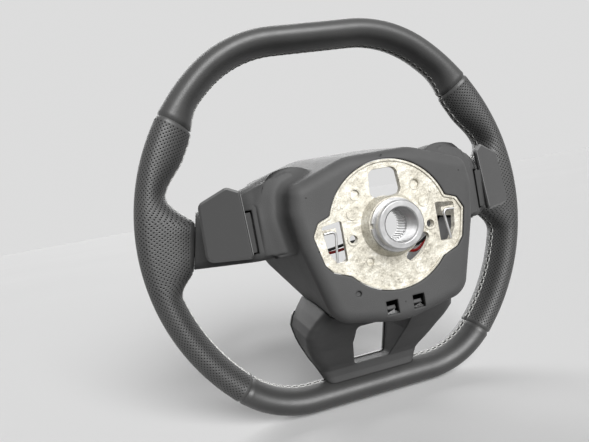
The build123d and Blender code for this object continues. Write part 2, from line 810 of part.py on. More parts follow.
# Back cover: centre box and two hollow spokes, open to the driver
right_spoke = spoke_body(0, 0)
right_valley = valley_body()
spoke_space = spoke_body(cover_wall, 0)
slot_low = barrel_low - arm_slot_gap
slot_high = barrel_high + arm_slot_gap
leg_way_half = leg_arm_width / 2 + tongue_gap
tongue_way_half = tongue_width / 2 + tongue_gap
with BuildPart() as back_cover:
    add(box_body(0, cover_rear))
    for half in (right_spoke, right_valley):
        add(half)
        mirror(half, about=Plane.YZ)
    add(box_body(cover_wall, cover_rear - cover_wall), mode=Mode.SUBTRACT)
    for space in (spoke_space, spoke_cut()):
        add(space, mode=Mode.SUBTRACT)
        mirror(space, about=Plane.YZ, mode=Mode.SUBTRACT)
    extrude(plate_outline(cover_rear + cut_over, -plate_gap), amount=2 * cover_wall, mode=Mode.SUBTRACT)
    add(post(pin_hole_x, pin_hole_z, pin_hole_radius, cover_rear + cut_over, pin_hole_depth + cut_over),
        mode=Mode.SUBTRACT)
    for side in (-1, 1):
        with BuildSketch(level(cover_rear + cut_over)):
            with Locations((side * clip_x, clip_z)):
                Rectangle(clip_width, clip_height)
        extrude(amount=2 * cover_wall, mode=Mode.SUBTRACT)
        with BuildSketch(level(spoke_rear)):
            with Locations((side * (arm_slot_x + arm_slot_end) / 2, (slot_low + slot_high) / 2)):
                Rectangle(arm_slot_end - arm_slot_x, slot_high - slot_low)
        extrude(amount=arm_slot_depth, mode=Mode.SUBTRACT)
        add(block((side * leg_arm_x - leg_way_half, cover_front - cut_over, wall_way[0]),
                  (side * leg_arm_x + leg_way_half, leg_way_rear, wall_way[1])), mode=Mode.SUBTRACT)
        add(block((side * clip_x - tongue_way_half, tongue_way[0], wall_way[0]),
                  (side * clip_x + tongue_way_half, tongue_way[1], wall_way[1])), mode=Mode.SUBTRACT)

# Lower spoke: hollow cover with two snap tongues, trim on the driver's side
with BuildPart() as lower_spoke_cover:
    add(leg_body(False))
    add(leg_body(True), mode=Mode.SUBTRACT)
    add(box_body(-leg_gap, cover_rear), mode=Mode.SUBTRACT)
    add(rim_envelope(), mode=Mode.SUBTRACT)
    for side in (-1, 1):
        with BuildSketch(Plane.YZ.offset(side * clip_x - tongue_width / 2)):
            with BuildLine():
                Polyline(*tongue_line)
            trace(line_width=tongue_wall)
        extrude(amount=tongue_width)

with BuildPart() as lower_spoke_trim:
    extrude(leg_face(cover_front, -trim_lip), amount=trim_wall)
    add(block((-rim_half_width, 2 * cover_front, trim_top), (rim_half_width, 0, 0)), mode=Mode.SUBTRACT)
    chamfer(lower_spoke_trim.faces().sort_by(Axis.Y)[0].edges(), trim_chamfer)
    add(rim_envelope(), mode=Mode.SUBTRACT)

# Switch panels, boards, keys and rollers
with BuildPart() as right_switch_panel:
    extrude(spoke_face(cover_front, panel_inset), amount=panel_wall)
    add(block((0, 2 * cover_front, spoke_low), (panel_inner_x, 0, spoke_high)), mode=Mode.SUBTRACT)
    add(spoke_cut(), mode=Mode.SUBTRACT)
    fillet(right_switch_panel.faces().sort_by(Axis.Y)[0].edges(), panel_round)
    for x, z, width, height in (inner_key, outer_key):
        add(rounded_block(x, z, width, height, key_round, cover_front, panel_wall), mode=Mode.SUBTRACT)
    slot_width = roller_width + 2 * roller_gap
    slot_height = 2 * (roller_radius + roller_gap)
    with BuildSketch(level(cover_front)):
        with Locations((roller_x, roller_z)):
            Rectangle(slot_width, slot_height)
    extrude(amount=panel_wall, mode=Mode.SUBTRACT)
    ear_half = axle_radius + axle_gap + roller_ear
    for side in (-1, 1):
        near = roller_x + side * slot_width / 2
        far = near + side * roller_ear
        add(block((min(near, far), cover_front, roller_z - ear_half),
                  (max(near, far), roller_y + ear_half, roller_z + ear_half)))
    with BuildSketch(Plane.YZ.offset(roller_x)):
        with Locations((roller_y, roller_z)):
            Circle(axle_radius + axle_gap)
    extrude(amount=slot_width, both=True, mode=Mode.SUBTRACT)
    for x, z in post_places:
        add(post(x, z, post_radius, board_front, board_depth))

with BuildPart() as left_switch_panel:
    mirror(right_switch_panel.part, about=Plane.YZ)

with BuildPart() as right_switch_board:
    extrude(spoke_face(board_front + board_wall, cover_wall + board_margin), amount=board_wall)
    for start, end in ((0, board_start_x), (board_end_x, rim_half_width)):
        add(block((start, 2 * cover_front, spoke_low), (end, 0, spoke_high)), mode=Mode.SUBTRACT)
    with BuildSketch(level(0)):
        with Locations((roller_x, roller_z)):
            Rectangle(slot_width + 2 * (roller_ear + board_window), slot_height + 2 * board_window)
    extrude(amount=-cover_front, mode=Mode.SUBTRACT)

with BuildPart() as left_switch_board:
    mirror(right_switch_board.part, about=Plane.YZ)

with BuildPart() as right_inner_key:
    add(key_body(inner_key))

with BuildPart() as left_inner_key:
    mirror(right_inner_key.part, about=Plane.YZ)

with BuildPart() as right_outer_key:
    add(key_body(outer_key))

with BuildPart() as left_outer_key:
    mirror(right_outer_key.part, about=Plane.YZ)

with BuildPart() as right_roller:
    with BuildSketch(Plane.YZ.offset(roller_x)):
        with Locations((roller_y, roller_z)):
            Circle(roller_radius)
            with PolarLocations(roller_radius, rib_count):
                Circle(rib_radius, mode=Mode.SUBTRACT)
    extrude(amount=roller_width / 2, both=True)
    with BuildSketch(Plane.YZ.offset(roller_x)):
        with Locations((roller_y, roller_z)):
            Circle(axle_radius)
    extrude(amount=slot_width / 2 + roller_ear, both=True)

with BuildPart() as left_roller:
    mirror(right_roller.part, about=Plane.YZ)

# Shift paddles: bevelled blade, arm and hinge barrel in one
blade_plane = Plane(origin=blade_corner, x_dir=(0, -blade_pitch, 1), z_dir=(blade_lean, 1, blade_pitch))
with BuildPart() as right_paddle:
    with BuildSketch(level(0)):
        with BuildLine():
            FilletPolyline(*blade_outline, radius=blade_corners, close=True)
        make_face()
    extrude(amount=-cover_front)
    with BuildSketch(blade_plane):
        Rectangle(2 * rim_half_width, 2 * rim_half_width)
    extrude(amount=-blade_wall, mode=Mode.INTERSECT)
    rear_edges = right_paddle.faces().sort_by(Axis(blade_corner, blade_plane.z_dir))[-1].edges()
    chamfer(rear_edges.filter_by(lambda edge: edge.center().X > blade_outline[0][0]), blade_bevel)
    with BuildSketch(Plane.XY.offset(barrel_low)):
        Polygon(*paddle_arm, align=None)
        with Locations((hinge_x, hinge_y)):
            Circle(barrel_radius)
    extrude(amount=barrel_high - barrel_low)
    with BuildSketch(Plane.XY.offset(barrel_low)):
        with Locations((hinge_x, hinge_y)):
            Circle(pin_radius + pin_gap)
    extrude(amount=barrel_high - barrel_low, mode=Mode.SUBTRACT)

with BuildPart() as left_paddle:
    mirror(right_paddle.part, about=Plane.YZ)

# Paddle switch housings on the side arms, with hinge pins, leaf springs and screws
with BuildPart() as right_paddle_housing:
    with BuildSketch(Plane.XY.offset(housing_low)):
        Polygon((housing_inner_x, housing_top), (housing_inner_x, seat_y(housing_inner_x)),
                (housing_outer_x, seat_y(housing_outer_x)), (housing_outer_x, housing_top), align=None)
    extrude(amount=housing_high - housing_low)
    for low in (housing_low, barrel_high + ear_gap):
        with BuildSketch(Plane.XY.offset(low)):
            with Locations((hinge_x, hinge_y)):
                Circle(ear_radius)
                Rectangle(2 * ear_radius, hinge_y - housing_top, align=(Align.CENTER, Align.MAX))
        extrude(amount=ear_wall)
    with BuildSketch(Plane.XY.offset(housing_low)):
        with Locations((hinge_x, hinge_y)):
            Circle(pin_radius + pin_fit)
    extrude(amount=housing_high - housing_low, mode=Mode.SUBTRACT)
    for z in screw_heights:
        add(post(screw_x, z, screw_radius + screw_gap, housing_top, screw_length), mode=Mode.SUBTRACT)

with BuildPart() as left_paddle_housing:
    mirror(right_paddle_housing.part, about=Plane.YZ)

with BuildPart() as right_paddle_pin:
    with BuildSketch(Plane.XY.offset(housing_low)):
        with Locations((hinge_x, hinge_y)):
            Circle(pin_radius)
    extrude(amount=housing_high - housing_low)

with BuildPart() as left_paddle_pin:
    mirror(right_paddle_pin.part, about=Plane.YZ)

with BuildPart() as right_paddle_spring:
    with BuildSketch(Plane.XY.offset((barrel_low + barrel_high - leaf_width) / 2)):
        with BuildLine():
            FilletPolyline(
                (leaf_foot_x, housing_top + leaf_wall / 2),
                (leaf_heel_x, housing_top + leaf_wall / 2),
                (paddle_arm[-2][0] + leaf_gap + leaf_wall / 2, leaf_tip_y),
                radius=leaf_bend,
            )
        trace(line_width=leaf_wall)
    extrude(amount=leaf_width)

with BuildPart() as left_paddle_spring:
    mirror(right_paddle_spring.part, about=Plane.YZ)

with BuildPart() as housing_screws:
    for side in (-1, 1):
        for z in screw_heights:
            add(post(side * screw_x, z, screw_radius, housing_top, screw_length))
            add(post(side * screw_x, z, screw_head_radius, housing_top + screw_head_rise, screw_head_rise))

# Leads between the two paddle switches
with BuildPart() as red_wire:
    add(lead("red_wire", red_route))

with BuildPart() as black_wire:
    add(lead("black_wire", black_route))

nodes = {
    "leather_top": leather_top,
    "leather_bottom": leather_bottom,
    "right_grip_leather": right_grip_leather,
    "left_grip_leather": left_grip_leather,
    "rim_foam": rim_foam,
    "armature": armature,
    "hub_sleeve": hub_sleeve,
    "right_retaining_spring": right_retaining_spring,
    "left_retaining_spring": left_retaining_spring,
    "back_cover": back_cover,
    "lower_spoke_cover": lower_spoke_cover,
    "lower_spoke_trim": lower_spoke_trim,
    "right_switch_panel": right_switch_panel,
    "left_switch_panel": left_switch_panel,
    "right_switch_board": right_switch_board,
    "left_switch_board": left_switch_board,
    "right_inner_key": right_inner_key,
    "left_inner_key": left_inner_key,
    "right_outer_key": right_outer_key,
    "left_outer_key": left_outer_key,
    "right_roller": right_roller,
    "left_roller": left_roller,
    "right_paddle": right_paddle,
    "left_paddle": left_paddle,
    "right_paddle_housing": right_paddle_housing,
    "left_paddle_housing": left_paddle_housing,
    "right_paddle_pin": right_paddle_pin,
    "left_paddle_pin": left_paddle_pin,
    "right_paddle_spring": right_paddle_spring,
    "left_paddle_spring": left_paddle_spring,
    "housing_screws": housing_screws,
    "red_wire": red_wire,
    "black_wire": black_wire,
}
for name, node in nodes.items():
    node.part.label = name
    export_step(node.part, f"parts/{name}.step")
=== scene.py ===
import math

import bmesh
import bpy
import numpy as np
from mathutils import Matrix, Vector
from mathutils.bvhtree import BVHTree


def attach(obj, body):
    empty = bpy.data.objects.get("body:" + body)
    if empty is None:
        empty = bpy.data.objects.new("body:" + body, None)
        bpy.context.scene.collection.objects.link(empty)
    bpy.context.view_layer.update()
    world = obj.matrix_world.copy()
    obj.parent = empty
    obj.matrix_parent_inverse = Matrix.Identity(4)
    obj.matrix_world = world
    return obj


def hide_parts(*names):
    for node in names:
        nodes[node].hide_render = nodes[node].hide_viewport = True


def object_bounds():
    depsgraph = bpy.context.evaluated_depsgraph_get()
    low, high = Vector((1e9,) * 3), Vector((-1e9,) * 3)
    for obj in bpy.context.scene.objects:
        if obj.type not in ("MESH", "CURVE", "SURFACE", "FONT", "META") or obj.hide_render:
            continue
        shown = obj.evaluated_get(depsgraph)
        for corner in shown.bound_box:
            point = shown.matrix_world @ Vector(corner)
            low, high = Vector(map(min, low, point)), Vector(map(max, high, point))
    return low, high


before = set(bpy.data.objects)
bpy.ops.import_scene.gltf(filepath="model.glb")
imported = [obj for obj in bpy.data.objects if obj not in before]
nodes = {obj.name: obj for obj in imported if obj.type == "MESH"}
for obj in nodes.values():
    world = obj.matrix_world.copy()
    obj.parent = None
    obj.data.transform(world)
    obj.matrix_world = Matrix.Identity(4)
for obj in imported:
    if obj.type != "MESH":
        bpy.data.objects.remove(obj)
cad_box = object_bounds()
scene = bpy.context.scene
scene.view_settings.view_transform = "Standard"

MM = 0.001
SIDES = (("right", 1), ("left", -1))

# Rim sizes in millimetres and degrees, the same as in the part's source
RIM_Y = -106.5
HALF_WIDTH, RIM_TOP, RIM_BOTTOM = 174.0, 175.8, 153.0
SIDE_R, SIDE_Z, UPPER_R, LOWER_R = 189.5, 5.8, 108.0, 84.6
HALF_THICK, HALF_DEEP = 12.4, 17.5
UPPER_SEAM = math.radians(35.4)
THUMB_LOW, THUMB_HIGH, THUMB_SPREAD, THUMB_HEIGHT = 28.0, 31.0, 13.0, 9.0
ROOT_LOW, ROOT_HIGH, ROOT_RAMP, ROOT_SWELL = -2.0, 4.1, 12.0, 34.0
ROOT_X, ROOT_SLOPE, ROOT_SPAN = 139.9, 0.216, 43.0
SIDE_X = HALF_WIDTH - SIDE_R
UPPER_Z = RIM_TOP - UPPER_R
LOWER_Z = LOWER_R - RIM_BOTTOM
UPPER_X = SIDE_X + math.sqrt((SIDE_R - UPPER_R) ** 2 - (UPPER_Z - SIDE_Z) ** 2)
LOWER_X = SIDE_X + math.sqrt((SIDE_R - LOWER_R) ** 2 - (LOWER_Z - SIDE_Z) ** 2)
UPPER_TURN = math.atan2(UPPER_Z - SIDE_Z, UPPER_X - SIDE_X)
LOWER_TURN = math.atan2(LOWER_Z - SIDE_Z, LOWER_X - SIDE_X)

# Leather: the fold at a seam, the soft roll beside it and the waviness of what is sewn by hand
FOLD_DEPTH, FOLD_WIDTH = 1.1, 0.7
ROLL_HEIGHT, ROLL_WIDTH, ROLL_AWAY = 0.22, 1.7, 3.0
INNER_FOLD_SHARE = 0.8
WAVINESS, WAVE_SHIFT, WAVE_SEED = 0.05, 30.0, 1.3
LEATHER_STEP, LEATHER_COLUMNS = 2.4, 97

# Samples round a grip's section, along a grip's seam and in the search for the spoke root's ends
SECTION_SAMPLES, SEAM_SAMPLES, ROOT_SAMPLES = 721, 200, 2000

# Perforation: every other cell of the grip's lattice holds a pit, apart from a plain margin
CELL, GRIP_COLUMNS = 1.84, 57
PIT_SIDES, PIT_SHARE, PIT_DEPTH, PIT_LIP = 8, 0.33, 0.55, 0.08
PILLOW_RISE = 0.12
PLAIN_END, PLAIN_EDGE = 3.4, 2.6

# Stitching: two rows of threads, with a pair of crossed ties after each stitch; the root's margin in radians
STITCH_PITCH, ROW_HALF, THREAD_RADIUS = 7.6, 2.1, 0.42
THREAD_BOW, THREAD_SINK, UPPER_TIE_RISE = 0.34, 0.16, 0.3
TIE_SINK, TIE_SINK_WIDTH, ROW_CURVE = 0.55, 0.9, 0.018
SEAM_RISE = 0.1
LEG_STOP = 44.0
ROOT_MARGIN = 0.004

# Where the black painted shade on the side arms starts, and over what length it sets in
ARM_SHADE_START, ARM_SHADE_FADE = 124.0, 2.0

# Rear face of a paddle's blade: slopes along x and z from its lower inner corner
BLADE_CORNER = (99.0, -24.2, -7.0)
BLADE_LEAN, BLADE_PITCH = 0.54, 0.113

# Bead along a blade's inner edge, pale as a painted highlight: its ends in x and z, and how it sits on the
# edge
BEAD_LOW, BEAD_HIGH = (99.35, -5.0), (99.95, 42.4)
BEAD_RADIUS, BEAD_SHIFT, BEAD_RISE = 0.34, 0.2, 0.02

# Marks that casting and moulding leave on the hub: rings as (x, z, radius, thickness), dots as (x, z)
PLATE_Y, COVER_Y = -1.0, 0.8
CAST_RINGS = (
    (-23.6, 26.0, 4.3, 0.35), (23.6, 26.0, 4.3, 0.35), (20.4, -23.3, 3.5, 0.35),
    (-30.6, -5.1, 4.4, 0.3), (30.6, -5.1, 4.4, 0.3),
)
CAST_DOTS = (
    (-15.0, -34.0), (14.0, -38.5), (-28.0, -20.0), (-35.0, 19.0), (35.0, 19.0), (0.0, -42.0), (-8.0, -29.0),
)
CAST_DOT_RADIUS, CAST_DOT_RISE = 1.5, 0.35
MOULD_DOTS = ((-0.6, 51.0), (-60.0, 30.0), (60.0, 30.0), (57.5, -8.5), (-57.5, -8.5), (0.0, -57.0))
MOULD_DOT_RADIUS, MOULD_DOT_RISE = 0.7, 0.12

# Skin over the rim of the hollow beside the centre box: its grid, its film and its border
BLEND_X, BLEND_Z, BLEND_STEP = (60.0, 106.0), (-8.4, 54.0), 0.8
BLEND_FILM, BLEND_SINK, BLEND_FADE = 0.08, 0.3, 3
BLEND_WIDEN, BLEND_BLUR = 4, 3
SPOKE_FLOOR, HOLLOW_FLOOR, HOLLOW_TOP = -50.0, -26.8, -22.5
SPOKE_TOP_X, SPOKE_TOP_Z = (55.0, 66.0, 84.0, 101.0, 110.0), (54.0, 55.0, 50.2, 43.9, 40.6)
TOP_MARGIN = 2.4
SLOT_X, SLOT_TOP = 91.6, 30.4
BEHIND_COVER = 40.0

# Dark wall of painted shade in a spoke's open end: where its rays start, the turns they cover, and its fit to
# arm and cover
END_Y, END_Z, END_INSET, END_THICK = -97.0, 10.0, 1.0, 1.0
END_TURNS = np.radians(np.linspace(-32, 212, 123))
ARM_HALF, ARM_CLEAR, INTO_COVER = 15.0, 0.01, 1.2

# Pocket of painted shade behind a latch window: its roof's line in y and z, and how far its sides reach down
LATCH_X, POCKET_HALF, POCKET_WALL = 10.6, 4.9, 0.8
POCKET_ROOF = ((-1.5, -53.2), (-10.0, -54.6), (-22.0, -60.0), (-31.0, -64.0))
POCKET_FOOT, POCKET_MOUTH = (0, -2.0, -7.0), (0, 0, -11.6)

# Studio: tone of the background, light from all round, and the floor's colour as seen and as it lights
PALE, AMBIENT = 0.72, 0.06
FLOOR_ALBEDO, FLOOR_BOUNCE = 0.721, 0.05
FLOOR_HALF, FLOOR_GAP = 60.0, 0.001

# Camera, fitted to the photo
CAMERA_LENS, CAMERA_SENSOR, CAMERA_CLIP = 28.611, 36.0, 0.01
CAMERA_PLACE = Vector((0.14428, 0.31289, 0.03002))
CAMERA_RIGHT = Vector((-0.9555, 0.23279, -0.18118))
CAMERA_UP = Vector((-0.18644, -0.0006, 0.98247))
CAMERA_BACK = Vector((0.2286, 0.97253, 0.04397))


# Materials

class Shader:
    """A principled material whose colour, roughness and bump come from nodes."""

    def __init__(self, name, **sockets):
        self.material = bpy.data.materials.new(name)
        self.material.use_nodes = True
        self.tree = self.material.node_tree
        self.bsdf = self.tree.nodes["Principled BSDF"]
        for key, value in sockets.items():
            self.bsdf.inputs[key.replace("_", " ")].default_value = value
        self.place = self.tree.nodes.new("ShaderNodeTexCoord").outputs["Object"]

    def add(self, kind, **sockets):
        """A new node, each named socket linked or set."""
        node = self.tree.nodes.new(kind)
        for key, value in sockets.items():
            socket = node.inputs[key.replace("_", " ")]
            if isinstance(value, bpy.types.NodeSocket):
                self.tree.links.new(value, socket)
            else:
                socket.default_value = value
        return node

    def stretched(self, scale):
        return self.add("ShaderNodeMapping", Vector=self.place, Scale=scale).outputs["Vector"]

    def noise(self, scale, detail=3.0, rough=0.55, place=None):
        where = place or self.place
        node = self.add("ShaderNodeTexNoise", Vector=where, Scale=scale, Detail=detail, Roughness=rough)
        return node.outputs["Fac"]

    def cells(self, scale):
        return self.add("ShaderNodeTexVoronoi", Vector=self.place, Scale=scale).outputs["Distance"]

    def ramp(self, value, stops):
        node = self.add("ShaderNodeValToRGB", Fac=value)
        points = node.color_ramp.elements
        while len(points) < len(stops):
            points.new(0.5)
        for point, (position, colour) in zip(points, stops):
            point.position = position
            point.color = (*colour, 1)
        return node.outputs["Color"]

    def span(self, value, low, high):
        return self.add("ShaderNodeMapRange", Value=value, To_Min=low, To_Max=high).outputs["Result"]

    def sum(self, a, b, weight):
        """One value and a share of another."""
        node = self.tree.nodes.new("ShaderNodeMath")
        node.operation = "MULTIPLY_ADD"
        self.tree.links.new(b, node.inputs[0])
        node.inputs[1].default_value = weight
        self.tree.links.new(a, node.inputs[2])
        return node.outputs[0]

    def colour(self, value):
        self.tree.links.new(value, self.bsdf.inputs["Base Color"])

    def rough(self, value):
        self.tree.links.new(value, self.bsdf.inputs["Roughness"])

    def bump(self, height, strength, distance, edge=0.0):
        """Relief from a height, with edges rounded by a radius where one is given."""
        node = self.add("ShaderNodeBump", Height=height, Strength=strength, Distance=distance)
        if edge:
            rounded = self.add("ShaderNodeBevel", Radius=edge)
            rounded.samples = 6
            self.tree.links.new(rounded.outputs["Normal"], node.inputs["Normal"])
        self.tree.links.new(node.outputs["Normal"], self.bsdf.inputs["Normal"])


def grey(value, tint=(1.0, 1.0, 1.0)):
    return tuple(value * t for t in tint)


def leather(name, dark, light):
    """Smooth leather with pores and fine folds."""
    s = Shader(name, Specular_IOR_Level=0.65)
    s.colour(s.ramp(s.noise(38, detail=4), [(0.3, dark), (0.72, light)]))
    pores = s.cells(1050)
    folds = s.noise(420, detail=5, rough=0.6)
    s.bump(s.sum(folds, pores, weight=0.55), strength=0.22, distance=0.0004)
    s.rough(s.span(s.noise(160, detail=4), 0.38, 0.50))
    return s.material


def plastic(name, dark, light, grain, rough=(0.5, 0.62), strength=0.25, level=0.45, edge=0.0007):
    """Moulded plastic with a fine grain and rounded edges."""
    s = Shader(name, Specular_IOR_Level=level)
    s.colour(s.ramp(s.noise(26, detail=5), [(0.25, dark), (0.75, light)]))
    texture = s.sum(s.noise(grain, detail=2), s.cells(grain * 0.8), weight=0.6)
    s.bump(texture, strength, distance=0.0003, edge=edge)
    s.rough(s.span(s.noise(90, detail=4), *rough))
    return s.material


def plastic_with_painted_bevel_highlight(name, sign, face, bevel):
    """A paddle's plastic, paler on the bevel round its blade as a painted highlight."""
    s = Shader(name, Specular_IOR_Level=0.35)
    normal = s.add("ShaderNodeVectorTransform", Vector=s.add("ShaderNodeNewGeometry").outputs["True Normal"])
    normal.convert_to = "OBJECT"
    tilt = s.add("ShaderNodeVectorMath")
    tilt.operation = "DOT_PRODUCT"
    s.tree.links.new(normal.outputs["Vector"], tilt.inputs[0])
    tilt.inputs[1].default_value = Vector((sign * BLADE_LEAN, 1, BLADE_PITCH)).normalized()
    # The paler band, picked out by the surface's tilt, is a painted highlight on the bevel
    stops = [(0.58, grey(face)), (0.66, grey(bevel)), (0.76, grey(bevel)), (0.83, grey(face))]
    s.colour(s.ramp(tilt.outputs["Value"], stops))
    texture = s.sum(s.noise(2600, detail=2), s.cells(2080), weight=0.6)
    s.bump(texture, strength=0.14, distance=0.0003, edge=0.0005)
    s.rough(s.span(s.noise(90, detail=4), 0.40, 0.50))
    return s.material


def cast_metal():
    """Mottled light-metal casting, black at the outer ends of the side arms as painted shade where they show
    beside the grip's root.
    """
    s = Shader("cast_alloy", Metallic=0.35, Specular_IOR_Level=0.5)
    broad = s.noise(95, detail=7, rough=0.72)
    fine = s.noise(800, detail=3, rough=0.65)
    bare = s.ramp(s.sum(broad, fine, weight=0.5), [
        (0.50, (0.24, 0.22, 0.18)), (0.66, (0.54, 0.51, 0.43)),
        (0.80, (0.72, 0.69, 0.60)), (0.95, (0.92, 0.90, 0.83)),
    ])
    far = s.add("ShaderNodeMath", Value=s.add("ShaderNodeSeparateXYZ", Vector=s.place).outputs["X"])
    far.operation = "ABSOLUTE"
    arm_end_shade = s.add("ShaderNodeMapRange", Value=far.outputs[0],
                   From_Min=(ARM_SHADE_START - ARM_SHADE_FADE) * MM, From_Max=ARM_SHADE_START * MM)
    # The black on the arms' outer ends is painted shade
    skin = s.add("ShaderNodeMixRGB", Fac=arm_end_shade.outputs["Result"], Color1=bare, Color2=(*grey(0.02), 1))
    s.colour(skin.outputs["Color"])
    texture = s.sum(s.noise(420, detail=5, rough=0.7), s.cells(300), weight=0.5)
    s.bump(texture, strength=0.8, distance=0.0008, edge=0.0006)
    s.rough(s.span(fine, 0.38, 0.66))
    return s.material


def turned_steel(name, tone, rough):
    """Steel with fine rings from turning and a faint stain."""
    s = Shader(name, Metallic=1.0)
    rings = s.noise(1.0, detail=4, rough=0.6, place=s.stretched((60, 5200, 60)))
    stain = s.noise(130, detail=5, rough=0.6)
    s.colour(s.ramp(stain, [(0.28, grey(tone * 0.72)), (0.62, grey(tone)), (0.85, grey(tone * 1.12))]))
    s.bump(rings, strength=0.12, distance=0.0002, edge=0.0005)
    s.rough(s.span(rings, *rough))
    return s.material


def sleeving(name, dark, light):
    """A wire's soft plastic sleeve."""
    s = Shader(name, Specular_IOR_Level=0.5)
    s.colour(s.ramp(s.noise(240, detail=3), [(0.3, dark), (0.7, light)]))
    s.bump(s.noise(1500, detail=2), strength=0.08, distance=0.0002)
    s.rough(s.span(s.noise(300, detail=2), 0.32, 0.45))
    return s.material


WARM = (1.0, 1.0, 0.98)
smooth_leather = leather("smooth_leather", grey(0.036), grey(0.050, WARM))
grip_leather = leather("perforated_leather", grey(0.050), grey(0.064, WARM))
# Near-black painted shade for the inside of the grip's pits and for the latch pockets
pit_and_pocket_shade = plastic("pit_and_pocket_painted_shade", grey(0.004), grey(0.009), grain=900, rough=(0.8, 0.95),
                   strength=0.1, level=0.1, edge=0)
cover_grain = plastic("cover_plastic", grey(0.084), grey(0.100), grain=1900, rough=(0.46, 0.58),
                      strength=0.4, level=0.2, edge=0.002)
paddle_highlighted_plastic = {side: plastic_with_painted_bevel_highlight(f"{side}_paddle_plastic_painted_highlight", sign, face=0.070, bevel=0.20)
                for side, sign in SIDES}
trim_gloss = plastic("trim_plastic", grey(0.020), grey(0.026), grain=3000, rough=(0.16, 0.26),
                     strength=0.05, level=0.5)
panel_satin = plastic("panel_plastic", grey(0.024), grey(0.030), grain=3000, rough=(0.46, 0.56),
                      strength=0.08, level=0.35)
key_soft = plastic("key_plastic", grey(0.030), grey(0.040), grain=2400, rough=(0.52, 0.64), strength=0.12)
housing_grain = plastic("housing_plastic", grey(0.020), grey(0.030), grain=1500, rough=(0.5, 0.6),
                        strength=0.2)
roller_rubber = plastic("roller_rubber", grey(0.018), grey(0.026), grain=1800, rough=(0.6, 0.75),
                        strength=0.2, level=0.3)
foam_skin = plastic("rim_foam", grey(0.020), grey(0.030), grain=800, rough=(0.75, 0.9),
                    strength=0.3, level=0.2)
board_green = plastic("board", (0.010, 0.060, 0.028), (0.016, 0.085, 0.040), grain=1200, rough=(0.35, 0.5),
                      strength=0.1)
alloy = cast_metal()
sleeve_steel = turned_steel("sleeve_steel", 0.54, rough=(0.30, 0.46))
spring_steel = turned_steel("spring_steel", 0.58, rough=(0.3, 0.45))
screw_steel = turned_steel("screw_steel", 0.5, rough=(0.3, 0.5))
red_sleeving = sleeving("red_sleeving", (0.42, 0.012, 0.012), (0.55, 0.022, 0.018))
black_sleeving = sleeving("black_sleeving", grey(0.010), grey(0.016))
# A pale finish that paints a highlight along the paddles' inner edges
bead_painted_highlight = plastic("paddle_bead", grey(0.16), grey(0.22), grain=1800, rough=(0.3, 0.4), strength=0.1)
thread_pale = plastic("thread", (0.66, 0.66, 0.64), (0.82, 0.82, 0.80), grain=2600, rough=(0.6, 0.75),
                      strength=0.5, level=0.3, edge=0)

finish = {
    "rim_foam": foam_skin, "armature": alloy, "hub_sleeve": sleeve_steel, "back_cover": cover_grain,
    "lower_spoke_cover": cover_grain, "lower_spoke_trim": trim_gloss, "housing_screws": screw_steel,
    "red_wire": red_sleeving, "black_wire": black_sleeving,
}
for side, sign in SIDES:
    finish.update({
        f"{side}_retaining_spring": spring_steel, f"{side}_switch_panel": panel_satin,
        f"{side}_switch_board": board_green, f"{side}_inner_key": key_soft, f"{side}_outer_key": key_soft,
        f"{side}_roller": roller_rubber, f"{side}_paddle": paddle_highlighted_plastic[side],
        f"{side}_paddle_housing": housing_grain, f"{side}_paddle_pin": spring_steel,
        f"{side}_paddle_spring": spring_steel,
    })
for name, material in finish.items():
    for slot in nodes[name].material_slots:
        slot.link = "OBJECT"
        slot.material = material


# Mesh pieces

def piece(name, vertices, faces, materials, body="wheel", indices=None, smooth=True):
    """A new mesh piece, its vertices in millimetres of the row frame."""
    mesh = bpy.data.meshes.new(name)
    mesh.from_pydata((np.asarray(vertices) * MM).tolist(), [], [tuple(face) for face in faces])
    for material in materials:
        mesh.materials.append(material)
    if indices is not None:
        mesh.polygons.foreach_set("material_index", np.asarray(indices, dtype=np.int32))
    if smooth:
        mesh.polygons.foreach_set("use_smooth", np.ones(len(mesh.polygons), dtype=bool))
    mesh.update()
    obj = bpy.data.objects.new(name, mesh)
    scene.collection.objects.link(obj)
    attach(obj, body)
    return obj


def joined(parts):
    """Several (vertices, faces) lists as one."""
    vertices, faces, base = [], [], 0
    for part_vertices, part_faces in parts:
        vertices.append(np.asarray(part_vertices, float))
        faces += [tuple(a + base for a in face) for face in part_faces]
        base += len(part_vertices)
    return np.vstack(vertices), faces


def grid_faces(rows, columns, keep=None):
    """Four-sided faces of a grid, or those of its cells that are kept."""
    faces = []
    for i in range(rows - 1):
        for j in range(columns - 1):
            if keep is None or keep[i, j]:
                a = i * columns + j
                faces.append((a, a + 1, a + columns + 1, a + columns))
    return faces


def tube(points, radius, sides=6):
    """A thin round tube along points, as vertices and faces, drawn in at both ends."""
    points = np.asarray(points, float)
    tangent = np.gradient(points, axis=0)
    tangent /= np.linalg.norm(tangent, axis=1, keepdims=True)
    guide = np.array([0.31, 0.87, 0.38])
    end_share = 0.45
    first = np.cross(tangent, guide)
    first /= np.linalg.norm(first, axis=1, keepdims=True)
    second = np.cross(tangent, first)
    ring = np.linspace(0, 2 * math.pi, sides, endpoint=False)[None, :, None]
    swell = np.full(len(points), radius)
    swell[[0, -1]] *= end_share
    round_about = np.cos(ring) * first[:, None, :] + np.sin(ring) * second[:, None, :]
    vertices = (points[:, None, :] + swell[:, None, None] * round_about).reshape(-1, 3)
    faces = []
    for i in range(len(points) - 1):
        for j in range(sides):
            a = i * sides + j
            b = i * sides + (j + 1) % sides
            faces.append((a, b, b + sides, a + sides))
    faces.append(tuple(range(sides))[::-1])
    faces.append(tuple(range(len(vertices) - sides, len(vertices))))
    return vertices, faces


